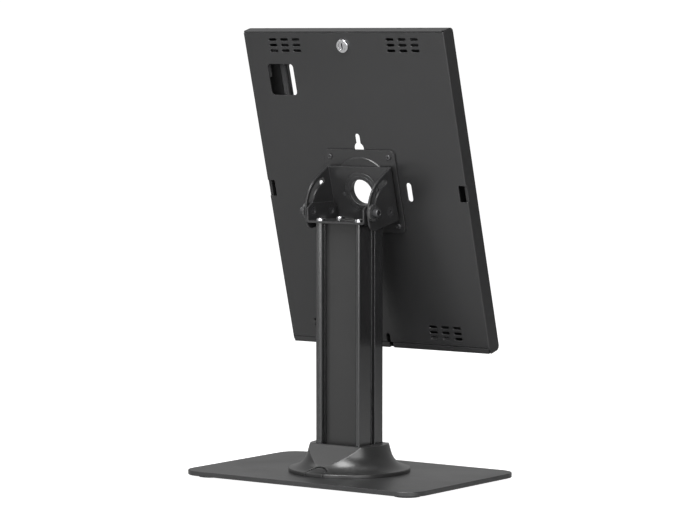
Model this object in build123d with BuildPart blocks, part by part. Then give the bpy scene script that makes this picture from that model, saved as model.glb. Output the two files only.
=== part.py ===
from build123d import *
from math import acos, atan2, cos, degrees, hypot, pi, radians, sin, tan
import os

# Tablet security kiosk stand, in millimetres.
# +Z is up and the screen faces -Y. The origin lies on the floor, under the middle of the base.

# Clearances and cuts
overrun = 1.0
screw_gap = 0.05
running_gap = 0.1
sheet_gap = 0.3
hole_gap = 0.25

# Base plate and feet
base_width = 298
base_depth = 197
base_thickness = 5
base_corner_r = 22
base_edge_r = 0.6
foot_height = 2.5
foot_r = 14
foot_edge = 0.5
foot_inset = 24

# Post
post_width = 56
post_depth = 43.5
post_length = 260.5
post_corner_r = 1.6
post_wall = 2.6
channel_width = 47.8
strip_recess = 9.0
channel_slot_width = 30
channel_lip = 2.5
side_groove_width = 7.5
side_groove_depth = 4
side_groove_setback = 2.5
port_inset_x = 3.4
port_inset_y = 4.15
port_wall = 1.2

# Cover strip of the post
strip_width = 41.4
strip_thickness = 2
strip_edge_r = 0.9
strip_start_height = 24
strip_top_gap = 0.5
strip_leg = 1.5
strip_barb = 0.9

# Collar at the foot of the post
collar_height = 29.5
collar_top_r = 41.4
collar_side_lean = 15.7
collar_face_lean = 51.7
collar_flare_r = 21.5
collar_foot_r = 64
collar_rim_height = 4
collar_rim_edge_r = 1
collar_top_edge_r = 0.8
collar_wall = 2.2
collar_post_gap = 0.4
door_width = 21.4
door_side_height = 5
door_arch_height = 8.6
door_wall = 2
door_gap = 0.7
door_tunnel_length = 22

# Screws of the base and the lower bracket
post_screw_r = 2
post_screw_reach = 14
base_screw_head_r = 4
bracket_screw_head_r = 5
bracket_screw_head_height = 3.2
bracket_screw_edge_r = 1.7
bracket_socket_r = 2
bracket_socket_depth = 1.6
hex_socket_r = 1.5
hex_socket_depth = 0.9

# Lower bracket
bracket_width = 73.5
bracket_depth = 51
bracket_height = 20.5
bracket_sheet = 2
bracket_bend_r = 2.8
ear_chamfer_run = 7.4
ear_chamfer_drop = 4.9
grommet_hole_r = 11
grommet_bore_r = 8
grommet_y = -5
grommet_flange = 2
grommet_flange_height = 1.2

# Tilt pivots and lock bolts
pivot_height = 12
bolt_spacing = 32.5
bolt_r = 3
bolt_recess = 0.6
pivot_head_r = 5
pivot_socket_depth = 1.2
pivot_socket_r = 1.9
spacer_r = 5
spacer_thickness = 2.25
nut_flats_r = 4.4
nut_recess = 0.1
lock_washer_r = 8.6
lock_washer_thickness = 2.25
lock_head_r = 4.5
lock_head_height = 6.2
lock_head_edge = 0.5
lock_socket_r = 2.6
lock_socket_depth = 3

# Yoke
rest_tilt = 15
tilt_travel = 70
pivot_below_centre = 16.4
pivot_behind_cover = 17.7
yoke_sheet = 2
yoke_bend_r = 2.4
yoke_top = 27.8
yoke_bottom = 30.2
flange_r = 39.5
flange_corner_angle = 15
flange_corner_r = 10
slot_width = 7
slot_spare_angle = 1.2

# Swivel
swivel_travel = 90
bushing_bore_r = 14
bushing_wall = 1.6
bushing_flange_r = 21.4
bushing_flange = 1.2
bushing_rim_r = 17.9
bushing_rim = 0.8
spanner_hole_r = 0.9
spanner_hole_depth = 1.2
spanner_hole_radius = 16.4
spanner_hole_angle = 114
bushing_edge_r = 0.4
retainer_r = 20
retainer_thickness = 1.1
slip_washer_thickness = 0.5
slip_washer_r = 20.6
stop_pin_r = 1.5
stop_pin_head_r = 1.9
stop_pin_radius = 23.7
stop_pin_angle = -6.8
stop_pin_head = 0.7
stop_slot_gap = 0.5

# Adapter plate
plate_size = 90
plate_thickness = 2
plate_corner_r = 6
boss_r = 37
boss_height = 1.3
boss_edge_r = 1.2
plate_hole_spacing = 75
plate_screw_r = 1.5
plate_screw_head_r = 2.9
plate_screw_head_height = 1.7
plate_screw_edge_r = 0.8
plate_socket_r = 1.15
plate_socket_depth = 1
press_nut_r = 3
press_nut_height = 3

# Rear cover
cover_width = 255
cover_sheet = 1.5
cover_top = 170.8
cover_bottom = 168.6
flange_depth = 17.8
flange_top = 172.6
flange_bottom = 175.3
flange_bottom_start = 2.5
flange_end_r = 5.3
cover_bend_r = 1.5
centre_hole_r = 23
vent_length = 10
vent_width = 3
vent_pitch_x = 15
vent_pitch_w = 6.05
vent_centre_x = 75
vent_top_w = 157.6
vent_bottom_w = -154.65
vent_columns = 3
vent_rows = 3
camera_window_width = 33.3
camera_window_height = 34
camera_window_r = 4
camera_window_x = 85.65
camera_window_w = 120
keyhole_r = 6.25
keyhole_w = 46
keyhole_slot_width = 6
keyhole_slot_end = 59
side_slot_width = 6.5
side_slot_height = 20.5
side_slot_x = 56
side_slot_w = -0.55
side_slot_r = 3.2
notch_height = 17.7
notch_w = -0.65
notch_reach = 9.5
notch_wrap = 2
cable_notch_width = 5
cable_notch_height = 9.6
corner_relief = 2
tongue_width = 30
tongue_x = 70
tongue_pad = 8
tongue_reach = 3.4
tongue_sheet = 1.5

# Front frame
frame_top = 172.6
frame_bottom = 174.8
frame_depth = 18
frame_sheet = 1.5
frame_bend_r = 5.5
frame_wall_start = 2.2
window_width = 175
window_height = 266
window_r = 4
lip_end = 169.2
lip_notch_x = -2.7
button_hole_width = 5
button_hole_depth = 2
button_hole_shares = [(0.823, 0.64), (-0.527, 0.6), (-0.737, 0.66)]

# Lock
lock_below_top = 13.8
lock_body_r = 6
lock_head_flange_r = 7.25
lock_head_flange = 2.4
lock_length = 11
lock_plug_r = 4.2
lock_plug_recess = 0.3
keyway_width = 1.4
keyway_length = 6
keyway_depth = 4
ring_nut_flats_r = 8
ring_nut_height = 3
cam_thickness = 1.5
cam_width = 10
cam_length = 12
cam_gap = 0.2
cam_screw_r = 1.6
cam_screw_head_r = 3.4
cam_screw_head_height = 1.6
keeper_width = 16
keeper_sheet = 1.5
keeper_overlap = 7
keeper_foot = 6
keeper_gap = 0.5

# Tablet supports
foam_width = 6
foam_thickness = 2
foam_border = 3
block_height = 12.5
block_thickness = 8
tablet_width = 217
tablet_height = 283
block_leg_x = 20
block_leg_w = 30

# Places worked out from the sizes above
base_top = foot_height + base_thickness
post_top = base_top + post_length
foot_spacing_x = base_width - 2 * foot_inset
foot_spacing_y = base_depth - 2 * foot_inset
port_spacing_x = post_width - 2 * port_inset_x
port_spacing_y = post_depth - 2 * port_inset_y
port_r = post_screw_r + screw_gap
channel_depth = strip_recess + strip_thickness
channel_floor_y = post_depth / 2 - channel_depth
bracket_floor = post_top + bracket_sheet
ear_inside = bracket_width / 2 - bracket_sheet
ear_outside = bracket_width / 2
yoke_inside = ear_outside + spacer_thickness
yoke_outside = yoke_inside + yoke_sheet
pivot_z = post_top + pivot_height
pivot_y = -bolt_spacing / 2
lock_bolt_y = bolt_spacing / 2
lock_w = cover_top - lock_below_top
keeper_end = lock_w + keeper_overlap

# The middle of the adapter plate on the cover, from the pivot
tilt = radians(rest_tilt)
centre_y = pivot_y + pivot_below_centre * sin(tilt) - pivot_behind_cover * cos(tilt)
centre_z = pivot_z + pivot_below_centre * cos(tilt) + pivot_behind_cover * sin(tilt)

# In this plane x runs with X, y runs up the cover and z runs forward through the enclosure
enclosure = Plane(origin=(0, centre_y, centre_z), x_dir=(1, 0, 0), z_dir=(0, -cos(tilt), sin(tilt)))

# Forward through the enclosure, square to the cover
into_cover = Axis(enclosure.origin, enclosure.z_dir)

# In this plane x runs backward from the cover and y runs up the cover
profile = Plane(origin=(0, centre_y, centre_z), x_dir=(0, cos(tilt), -sin(tilt)), z_dir=(1, 0, 0))

# Heights behind the cover face
boss_face = plate_thickness + boss_height
web_front = boss_face + slip_washer_thickness
web_back = web_front + yoke_sheet
bushing_back = web_back + bushing_flange
rim_back = bushing_back + bushing_rim
retainer_back = boss_height - running_gap
bushing_front = retainer_back - retainer_thickness
tube_r = bushing_bore_r + bushing_wall

os.makedirs("parts", exist_ok=True)


def save(builder, name):
    """Label a finished piece and write it under its own name."""
    builder.part.label = name
    export_step(builder.part, "parts/" + name + ".step")


def behind(height):
    """The enclosure plane moved back from the cover face by a height."""
    return enclosure.offset(-height)


# Base plate, drilled and countersunk from below for the post screws
base_screw_sink = base_screw_head_r - post_screw_r
with BuildPart() as base_plate:
    with BuildSketch(Plane.XY.offset(foot_height)):
        RectangleRounded(base_width, base_depth, base_corner_r)
    extrude(amount=base_thickness)
    fillet(base_plate.faces().sort_by(Axis.Z)[-1].edges(), base_edge_r)
    fillet(base_plate.faces().sort_by(Axis.Z)[0].edges(), base_edge_r)
    with BuildSketch(Plane.XY.offset(foot_height - overrun)):
        with GridLocations(port_spacing_x, port_spacing_y, 2, 2):
            Circle(post_screw_r + hole_gap)
    extrude(amount=base_thickness + 2 * overrun, mode=Mode.SUBTRACT)
    with BuildSketch(Plane.XY.offset(foot_height)):
        with GridLocations(port_spacing_x, port_spacing_y, 2, 2):
            Circle(base_screw_head_r + hole_gap)
    extrude(amount=base_screw_sink, taper=45, mode=Mode.SUBTRACT)
save(base_plate, "base_plate")

# Feet
with BuildPart() as base_feet:
    with BuildSketch():
        with GridLocations(foot_spacing_x, foot_spacing_y, 2, 2):
            Circle(foot_r)
    extrude(amount=foot_height)
    chamfer(base_feet.faces().group_by(Axis.Z)[0].edges(), foot_edge)
save(base_feet, "base_feet")

# Countersunk screws from the base up into the post
with BuildPart() as base_screws:
    with BuildSketch(Plane.XY.offset(foot_height)):
        with GridLocations(port_spacing_x, port_spacing_y, 2, 2):
            Circle(base_screw_head_r)
    extrude(amount=base_screw_sink, taper=45)
    with BuildSketch(Plane.XY.offset(foot_height)):
        with GridLocations(port_spacing_x, port_spacing_y, 2, 2):
            Circle(post_screw_r)
    extrude(amount=base_thickness + post_screw_reach)
    with BuildSketch(Plane.XY.offset(foot_height)):
        with GridLocations(port_spacing_x, port_spacing_y, 2, 2):
            RegularPolygon(hex_socket_r, 6)
    extrude(amount=hex_socket_depth, mode=Mode.SUBTRACT)
save(base_screws, "base_screws")

# Post, an extrusion that is open at the back, with a screw port in each corner
cavity_front = -post_depth / 2 + post_wall
cavity_back = channel_floor_y - channel_lip
cavity_depth = cavity_back - cavity_front
with BuildPart() as post:
    with BuildSketch(Plane.XY.offset(base_top)):
        RectangleRounded(post_width, post_depth, post_corner_r)
        with Locations((0, post_depth / 2)):
            Rectangle(channel_width, channel_depth, align=(Align.CENTER, Align.MAX), mode=Mode.SUBTRACT)
        with Locations((0, channel_floor_y)):
            Rectangle(
                channel_slot_width, channel_lip, align=(Align.CENTER, Align.MAX), mode=Mode.SUBTRACT
            )
        with Locations((0, cavity_front)):
            Rectangle(
                post_width - 2 * post_wall,
                cavity_depth,
                align=(Align.CENTER, Align.MIN),
                mode=Mode.SUBTRACT,
            )
        for side, inward in ((-1, Align.MIN), (1, Align.MAX)):
            with Locations((side * post_width / 2, -side_groove_setback)):
                Rectangle(
                    side_groove_depth + post_wall,
                    side_groove_width + 2 * post_wall,
                    align=(inward, Align.CENTER),
                )
                Rectangle(2 * side_groove_depth, side_groove_width, mode=Mode.SUBTRACT)
        with GridLocations(port_spacing_x, port_spacing_y, 2, 2):
            Circle(port_r + port_wall)
        with GridLocations(port_spacing_x, port_spacing_y, 2, 2):
            Circle(port_r, mode=Mode.SUBTRACT)
    extrude(amount=post_length)
save(post, "post")

# Cover strip, clipped into the channel of the post by two barbed legs
leg_x = channel_slot_width / 2 - hole_gap - strip_leg / 2
barb_back = cavity_back - hole_gap
with BuildPart() as post_cover:
    with BuildSketch(Plane.XY.offset(base_top + strip_start_height)):
        with Locations((0, channel_floor_y)):
            Rectangle(strip_width, strip_thickness, align=(Align.CENTER, Align.MIN))
        fillet(vertices().group_by(Axis.Y)[-1], strip_edge_r)
        for side in (-1, 1):
            with Locations((side * leg_x, channel_floor_y)):
                Rectangle(
                    strip_leg,
                    channel_floor_y - barb_back + strip_barb,
                    align=(Align.CENTER, Align.MAX),
                )
            with Locations((side * leg_x, barb_back)):
                Rectangle(strip_leg + 2 * strip_barb, strip_barb, align=(Align.CENTER, Align.MAX))
    extrude(amount=post_length - strip_start_height - strip_top_gap)
save(post_cover, "post_cover")


# The collar's round sides and its flat faces both run into a flare around this circle
collar_top = base_top + collar_height
side_lean = radians(collar_side_lean)
face_lean = radians(collar_face_lean)
flare_z = base_top + collar_rim_height + collar_flare_r
flare_rise = collar_top - flare_z
flare_x = collar_top_r + (collar_flare_r + flare_rise * sin(side_lean)) / cos(side_lean)


def on_flare(reach, angle):
    """A point at a distance from the middle of the flare's circle, seen in the collar's section."""
    return (flare_x - reach * cos(angle), flare_z - reach * sin(angle))


def collar_form(inset):
    """The solid form of the collar, a round trumpet with a flat face at the front and the back."""
    top = collar_top - inset
    reach = collar_flare_r + inset
    side_foot = on_flare(reach, side_lean)
    side_top = (side_foot[0] - (top - side_foot[1]) * tan(side_lean), top)
    flare_end = on_flare(reach, pi / 2)
    face_foot = on_flare(reach, face_lean)
    face_top = (face_foot[0] - (top - face_foot[1]) * tan(face_lean), top)
    outside = flare_end[0] + collar_foot_r
    with BuildPart() as form:
        with BuildSketch(Plane.XZ):
            with BuildLine():
                Polyline((0, top), side_top, side_foot)
                ThreePointArc(side_foot, on_flare(reach, (side_lean + pi / 2) / 2), flare_end)
                Polyline(
                    flare_end,
                    (outside, flare_end[1]),
                    (outside, base_top),
                    (0, base_top),
                    (0, top),
                )
            make_face()
            with Locations((0, base_top)):
                Rectangle(
                    collar_foot_r - inset,
                    collar_height,
                    align=(Align.MIN, Align.MIN),
                    mode=Mode.INTERSECT,
                )
            foot_edge = vertices().group_by(Axis.X)[-1].sort_by(Axis.Y)[-1]
            fillet(foot_edge, collar_rim_edge_r)
        revolve(axis=Axis.Z)
        with BuildSketch(Plane.YZ.offset(-outside)):
            with BuildLine():
                Polyline(
                    face_top,
                    face_foot,
                    (outside, face_foot[1]),
                    (outside, base_top),
                    (-outside, base_top),
                    (-outside, face_foot[1]),
                    (-face_foot[0], face_foot[1]),
                    (-face_top[0], top),
                    close=True,
                )
            make_face()
        extrude(amount=2 * outside, mode=Mode.INTERSECT)
    return form.part


def door_outline(grow, bottom, back):
    """The arched outline of the cable door, grown by a gap, at a distance behind the post."""
    half = door_width / 2 + grow
    side_top = base_top + door_side_height + grow
    with BuildSketch(Plane.XZ.offset(-back)) as outline:
        with BuildLine():
            Polyline((half, side_top), (half, bottom), (-half, bottom), (-half, side_top))
            ThreePointArc((-half, side_top), (0, base_top + door_arch_height + grow), (half, side_top))
        make_face()
    return outline.sketch


# Solid form of the collar with its top edges rounded, and the hollow inside it
with BuildPart() as collar_solid:
    add(collar_form(0))
    fillet(collar_solid.faces().sort_by(Axis.Z)[-1].edges(), collar_top_edge_r)
collar_hollow = collar_form(collar_wall)

# Collar, a shell around the foot of the post with an arched opening for the cable
with BuildPart() as collar:
    add(collar_solid.part)
    add(collar_hollow, mode=Mode.SUBTRACT)
    with BuildSketch(Plane.XY.offset(base_top)):
        RectangleRounded(
            post_width + 2 * collar_post_gap,
            post_depth + 2 * collar_post_gap,
            post_corner_r + collar_post_gap,
        )
    extrude(amount=collar_height + overrun, mode=Mode.SUBTRACT)
    extrude(
        door_outline(door_gap, base_top - overrun, collar_foot_r + overrun),
        amount=door_tunnel_length + 2 * overrun,
        mode=Mode.SUBTRACT,
    )
save(collar, "collar")

# Hollow of the cable door, an arch that stays under the skin of the collar
with BuildPart() as door_hollow:
    extrude(
        door_outline(-door_wall, base_top - overrun, collar_foot_r),
        amount=door_tunnel_length + overrun,
    )
    add(collar_hollow, mode=Mode.INTERSECT)

# Cable door, flush with the collar
with BuildPart() as collar_cable_door:
    extrude(door_outline(0, base_top, collar_foot_r), amount=door_tunnel_length)
    add(collar_solid.part, mode=Mode.INTERSECT)
    add(door_hollow.part, mode=Mode.SUBTRACT)
save(collar_cable_door, "collar_cable_door")

# Lower bracket, a sheet bent into a U that stands on the post
bracket_top = post_top + bracket_height
bracket_back = bracket_depth / 2
ear_chamfer_y = bracket_back - ear_chamfer_run
ear_chamfer_z = bracket_top - ear_chamfer_drop
with BuildPart() as post_bracket:
    with BuildSketch(Plane.YZ.offset(-ear_outside)):
        with BuildLine():
            Polyline(
                (-bracket_back, post_top),
                (bracket_back, post_top),
                (bracket_back, ear_chamfer_z),
                (ear_chamfer_y, bracket_top),
                (-ear_chamfer_y, bracket_top),
                (-bracket_back, ear_chamfer_z),
                close=True,
            )
        make_face()
    extrude(amount=bracket_width)
    with BuildSketch(Plane.XZ.offset(-bracket_back - overrun)):
        with Locations((0, bracket_floor)):
            Rectangle(2 * ear_inside, bracket_height, align=(Align.CENTER, Align.MIN))
        fillet(vertices().group_by(Axis.Y)[0], bracket_bend_r - bracket_sheet)
    extrude(amount=bracket_depth + 2 * overrun, mode=Mode.SUBTRACT)
    fillet(post_bracket.faces().sort_by(Axis.Z)[0].edges().filter_by(Axis.Y), bracket_bend_r)
    with BuildSketch(Plane.YZ.offset(-ear_outside - overrun)):
        with Locations((0, pivot_z)):
            with GridLocations(bolt_spacing, 0, 2, 1):
                RegularPolygon(nut_flats_r + screw_gap, 6, major_radius=False)
    extrude(amount=bracket_width + 2 * overrun, mode=Mode.SUBTRACT)
    with BuildSketch(Plane.XY.offset(post_top - overrun)):
        with GridLocations(port_spacing_x, port_spacing_y, 2, 2):
            Circle(post_screw_r + hole_gap)
        with Locations((0, grommet_y)):
            Circle(grommet_hole_r)
    extrude(amount=bracket_sheet + 2 * overrun, mode=Mode.SUBTRACT)
save(post_bracket, "post_bracket")

# Screws of the lower bracket
with BuildPart() as bracket_screws:
    with BuildSketch(Plane.XY.offset(bracket_floor)):
        with GridLocations(port_spacing_x, port_spacing_y, 2, 2):
            Circle(bracket_screw_head_r)
    extrude(amount=bracket_screw_head_height)
    fillet(bracket_screws.faces().group_by(Axis.Z)[-1].edges(), bracket_screw_edge_r)
    with BuildSketch(Plane.XY.offset(bracket_floor + bracket_screw_head_height)):
        with GridLocations(port_spacing_x, port_spacing_y, 2, 2):
            RegularPolygon(bracket_socket_r, 6)
    extrude(amount=-bracket_socket_depth, mode=Mode.SUBTRACT)
    with BuildSketch(Plane.XY.offset(bracket_floor)):
        with GridLocations(port_spacing_x, port_spacing_y, 2, 2):
            Circle(post_screw_r)
    extrude(amount=-bracket_sheet - post_screw_reach)
save(bracket_screws, "bracket_screws")

# Grommet around the cable hole of the lower bracket
with BuildPart() as cable_grommet:
    with BuildSketch(Plane.XY.offset(post_top)):
        with Locations((0, grommet_y)):
            Circle(grommet_hole_r - screw_gap)
    extrude(amount=bracket_sheet)
    with BuildSketch(Plane.XY.offset(bracket_floor)):
        with Locations((0, grommet_y)):
            Circle(grommet_hole_r + grommet_flange)
    extrude(amount=grommet_flange_height)
    fillet(cable_grommet.faces().sort_by(Axis.Z)[-1].edges(), grommet_flange_height / 2)
    with BuildSketch(Plane.XY.offset(post_top - overrun)):
        with Locations((0, grommet_y)):
            Circle(grommet_bore_r)
    extrude(amount=bracket_height, mode=Mode.SUBTRACT)
save(cable_grommet, "cable_grommet")

# Pivot bolts, with their flat heads sunk in the flanges of the yoke
bolt_end = ear_inside + bolt_recess
with BuildPart() as pivot_bolts:
    with BuildSketch(Plane.YZ.offset(bolt_end)):
        with Locations((pivot_y, pivot_z)):
            Circle(bolt_r)
    extrude(amount=yoke_inside - bolt_end)
    with BuildSketch(Plane.YZ.offset(yoke_inside)):
        with Locations((pivot_y, pivot_z)):
            Circle(pivot_head_r - yoke_sheet)
    extrude(amount=yoke_sheet, taper=-45)
    with BuildSketch(Plane.YZ.offset(yoke_outside)):
        with Locations((pivot_y, pivot_z)):
            RegularPolygon(pivot_socket_r, 6)
    extrude(amount=-pivot_socket_depth, mode=Mode.SUBTRACT)
    mirror(about=Plane.YZ)
save(pivot_bolts, "pivot_bolts")

# Lock bolts, which clamp the yoke through its slots
lock_head_start = yoke_outside + lock_washer_thickness
with BuildPart() as tilt_lock_bolts:
    with BuildSketch(Plane.YZ.offset(bolt_end)):
        with Locations((lock_bolt_y, pivot_z)):
            Circle(bolt_r)
    extrude(amount=lock_head_start - bolt_end)
    with BuildSketch(Plane.YZ.offset(lock_head_start)):
        with Locations((lock_bolt_y, pivot_z)):
            Circle(lock_head_r)
    extrude(amount=lock_head_height)
    chamfer(tilt_lock_bolts.faces().sort_by(Axis.X)[-1].edges(), lock_head_edge)
    with BuildSketch(Plane.YZ.offset(lock_head_start + lock_head_height)):
        with Locations((lock_bolt_y, pivot_z)):
            RegularPolygon(lock_socket_r, 6)
    extrude(amount=-lock_socket_depth, mode=Mode.SUBTRACT)
    mirror(about=Plane.YZ)
save(tilt_lock_bolts, "tilt_lock_bolts")

# Nuts pressed flush into the ears, one node for each kind of bolt
for nut_name, nut_y in (("pivot_nuts", pivot_y), ("tilt_lock_nuts", lock_bolt_y)):
    with BuildPart() as nuts:
        with BuildSketch(Plane.YZ.offset(ear_inside + nut_recess)):
            with Locations((nut_y, pivot_z)):
                RegularPolygon(nut_flats_r, 6, major_radius=False)
                Circle(bolt_r + screw_gap, mode=Mode.SUBTRACT)
        extrude(amount=bracket_sheet - 2 * nut_recess)
        mirror(about=Plane.YZ)
    save(nuts, nut_name)

# Spacer washers between the ears and the yoke
with BuildPart() as spacer_washers:
    with BuildSketch(Plane.YZ.offset(ear_outside)):
        with Locations((0, pivot_z)):
            with GridLocations(bolt_spacing, 0, 2, 1):
                Circle(spacer_r)
                Circle(bolt_r + screw_gap, mode=Mode.SUBTRACT)
    extrude(amount=spacer_thickness)
    mirror(about=Plane.YZ)
save(spacer_washers, "spacer_washers")

# Large washers under the heads of the lock bolts
with BuildPart() as tilt_lock_washers:
    with BuildSketch(Plane.YZ.offset(yoke_outside)):
        with Locations((lock_bolt_y, pivot_z)):
            Circle(lock_washer_r)
            Circle(bolt_r + screw_gap, mode=Mode.SUBTRACT)
    extrude(amount=lock_washer_thickness)
    mirror(about=Plane.YZ)
save(tilt_lock_washers, "tilt_lock_washers")


def around_pivot(radius, angle):
    """A point of the profile plane, at an angle about the pivot from straight backward."""
    return (
        pivot_behind_cover + radius * cos(radians(angle)),
        radius * sin(radians(angle)) - pivot_below_centre,
    )


# Yoke, a sheet bent into a U, with a curved slot about the pivot in each flange
yoke_corner = (web_front, yoke_top)
corner_run = hypot(web_front - pivot_behind_cover, yoke_top + pivot_below_centre)
corner_angle = degrees(atan2(yoke_top + pivot_below_centre, web_front - pivot_behind_cover))
arc_end_angle = corner_angle - degrees(acos(flange_r / corner_run))
flange_tip = around_pivot(flange_r, -flange_corner_angle)
slot_line = CenterArc(
    around_pivot(0, 0),
    bolt_spacing,
    rest_tilt - slot_spare_angle,
    tilt_travel + 2 * slot_spare_angle,
)
stop_pin_place = (
    stop_pin_radius * cos(radians(stop_pin_angle)),
    stop_pin_radius * sin(radians(stop_pin_angle)),
)
with BuildPart() as tilt_yoke:
    with BuildSketch(profile.offset(-yoke_outside)):
        with BuildLine():
            Line((web_front, -yoke_bottom), flange_tip)
            ThreePointArc(
                flange_tip,
                around_pivot(flange_r, (arc_end_angle - flange_corner_angle) / 2),
                around_pivot(flange_r, arc_end_angle),
            )
            Line(around_pivot(flange_r, arc_end_angle), yoke_corner)
            Line(yoke_corner, (web_front, -yoke_bottom))
        make_face()
        fillet(vertices().sort_by_distance(flange_tip)[0], flange_corner_r)
    extrude(amount=2 * yoke_outside)
    with BuildSketch(profile.offset(-yoke_inside)):
        with Locations((web_back, 0)):
            Rectangle(2 * flange_r, 3 * flange_r, align=(Align.MIN, Align.CENTER))
    extrude(amount=2 * yoke_inside, mode=Mode.SUBTRACT)
    for side in (-1, 1):
        bend = enclosure.from_local_coords((side * yoke_outside, 0, -web_front))
        fillet(tilt_yoke.edges().sort_by_distance(bend)[0], yoke_bend_r)
    with BuildSketch(profile.offset(-yoke_outside - overrun)):
        SlotArc(slot_line, slot_width)
    extrude(amount=2 * yoke_outside + 2 * overrun, mode=Mode.SUBTRACT)
    for side in (-1, 1):
        with Locations(Plane(origin=(side * yoke_outside, pivot_y, pivot_z), z_dir=(side, 0, 0))):
            CounterSinkHole(
                bolt_r + running_gap,
                pivot_head_r + running_gap,
                depth=yoke_sheet + overrun,
                counter_sink_angle=90,
            )
    with BuildSketch(behind(web_back + overrun)):
        Circle(tube_r + screw_gap)
        with Locations(stop_pin_place):
            Circle(stop_pin_r + screw_gap)
    extrude(amount=yoke_sheet + 2 * overrun, mode=Mode.SUBTRACT)
save(tilt_yoke, "tilt_yoke")

# Hollow bushing that carries the enclosure and lets it swivel
with BuildPart() as swivel_bushing:
    with BuildSketch(behind(bushing_back)):
        Circle(bushing_flange_r)
    extrude(amount=bushing_flange)
    flange_face = swivel_bushing.faces().sort_by_distance(behind(bushing_back + overrun).origin)[0]
    fillet(flange_face.edges(), bushing_edge_r)
    with BuildSketch(behind(rim_back)):
        Circle(bushing_rim_r)
    extrude(amount=bushing_rim)
    with BuildSketch(behind(bushing_back)):
        Circle(tube_r)
    extrude(amount=bushing_back - bushing_front)
    with BuildSketch(behind(rim_back + overrun)):
        Circle(bushing_bore_r)
    extrude(amount=rim_back - bushing_front + 2 * overrun, mode=Mode.SUBTRACT)
    rim_face = swivel_bushing.faces().sort_by_distance(behind(rim_back + overrun).origin)[0]
    fillet(rim_face.edges(), bushing_edge_r)
    with BuildSketch(behind(rim_back)):
        with PolarLocations(spanner_hole_radius, 2, start_angle=spanner_hole_angle):
            Circle(spanner_hole_r)
    extrude(amount=spanner_hole_depth, mode=Mode.SUBTRACT)
save(swivel_bushing, "swivel_bushing")

# Ring crimped on the bushing in front of the adapter plate
with BuildPart() as swivel_retainer:
    with BuildSketch(behind(retainer_back)):
        Circle(retainer_r)
        Circle(tube_r + screw_gap, mode=Mode.SUBTRACT)
    extrude(amount=retainer_thickness)
save(swivel_retainer, "swivel_retainer")

# Slip washer between the yoke and the boss of the adapter plate
with BuildPart() as swivel_slip_washer:
    with BuildSketch(behind(web_front)):
        Circle(slip_washer_r)
        Circle(tube_r + running_gap, mode=Mode.SUBTRACT)
    extrude(amount=slip_washer_thickness)
save(swivel_slip_washer, "swivel_slip_washer")

# Stop pin, riveted in the yoke, which runs in the slot of the adapter plate
with BuildPart() as swivel_stop_pin:
    with BuildSketch(behind(web_back + stop_pin_head)):
        with Locations(stop_pin_place):
            Circle(stop_pin_head_r)
    extrude(amount=stop_pin_head)
    with BuildSketch(behind(web_back)):
        with Locations(stop_pin_place):
            Circle(stop_pin_r)
    extrude(amount=web_back - boss_height)
save(swivel_stop_pin, "swivel_stop_pin")

# Adapter plate, pressed out into a round boss around the bushing
stop_line = CenterArc((0, 0), stop_pin_radius, stop_pin_angle - swivel_travel, swivel_travel)
with BuildPart() as adapter_plate:
    with BuildSketch(behind(plate_thickness)):
        RectangleRounded(plate_size, plate_size, plate_corner_r)
    extrude(amount=plate_thickness)
    with BuildSketch(behind(boss_face)):
        Circle(boss_r)
    extrude(amount=boss_height)
    boss_edge = adapter_plate.faces().sort_by_distance(behind(boss_face + overrun).origin)[0]
    fillet(boss_edge.edges(), boss_edge_r)
    with BuildSketch(behind(boss_height)):
        Circle(boss_r - plate_thickness)
    extrude(amount=boss_height, mode=Mode.SUBTRACT)
    with BuildSketch(behind(boss_face + overrun)):
        Circle(tube_r + running_gap)
        with GridLocations(plate_hole_spacing, plate_hole_spacing, 2, 2):
            Circle(plate_screw_r + hole_gap)
        SlotArc(stop_line, 2 * (stop_pin_r + stop_slot_gap))
    extrude(amount=boss_face + 2 * overrun, mode=Mode.SUBTRACT)
save(adapter_plate, "adapter_plate")

# Screws of the adapter plate
with BuildPart() as adapter_screws:
    with BuildSketch(behind(plate_thickness + plate_screw_head_height)):
        with GridLocations(plate_hole_spacing, plate_hole_spacing, 2, 2):
            Circle(plate_screw_head_r)
    extrude(amount=plate_screw_head_height)
    fillet(adapter_screws.faces().group_by(into_cover)[0].edges(), plate_screw_edge_r)
    with BuildSketch(behind(plate_thickness)):
        with GridLocations(plate_hole_spacing, plate_hole_spacing, 2, 2):
            Circle(plate_screw_r)
    extrude(amount=plate_thickness + cover_sheet + press_nut_height)
    with BuildSketch(behind(plate_thickness + plate_screw_head_height)):
        with GridLocations(plate_hole_spacing, plate_hole_spacing, 2, 2):
            RegularPolygon(plate_socket_r, 6)
    extrude(amount=plate_socket_depth, mode=Mode.SUBTRACT)
save(adapter_screws, "adapter_screws")

# Press-in nuts on the inner face of the rear cover
with BuildPart() as adapter_nuts:
    with BuildSketch(enclosure.offset(cover_sheet)):
        with GridLocations(plate_hole_spacing, plate_hole_spacing, 2, 2):
            Circle(press_nut_r)
        with GridLocations(plate_hole_spacing, plate_hole_spacing, 2, 2):
            Circle(plate_screw_r + screw_gap, mode=Mode.SUBTRACT)
    extrude(amount=press_nut_height)
save(adapter_nuts, "adapter_nuts")

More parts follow.
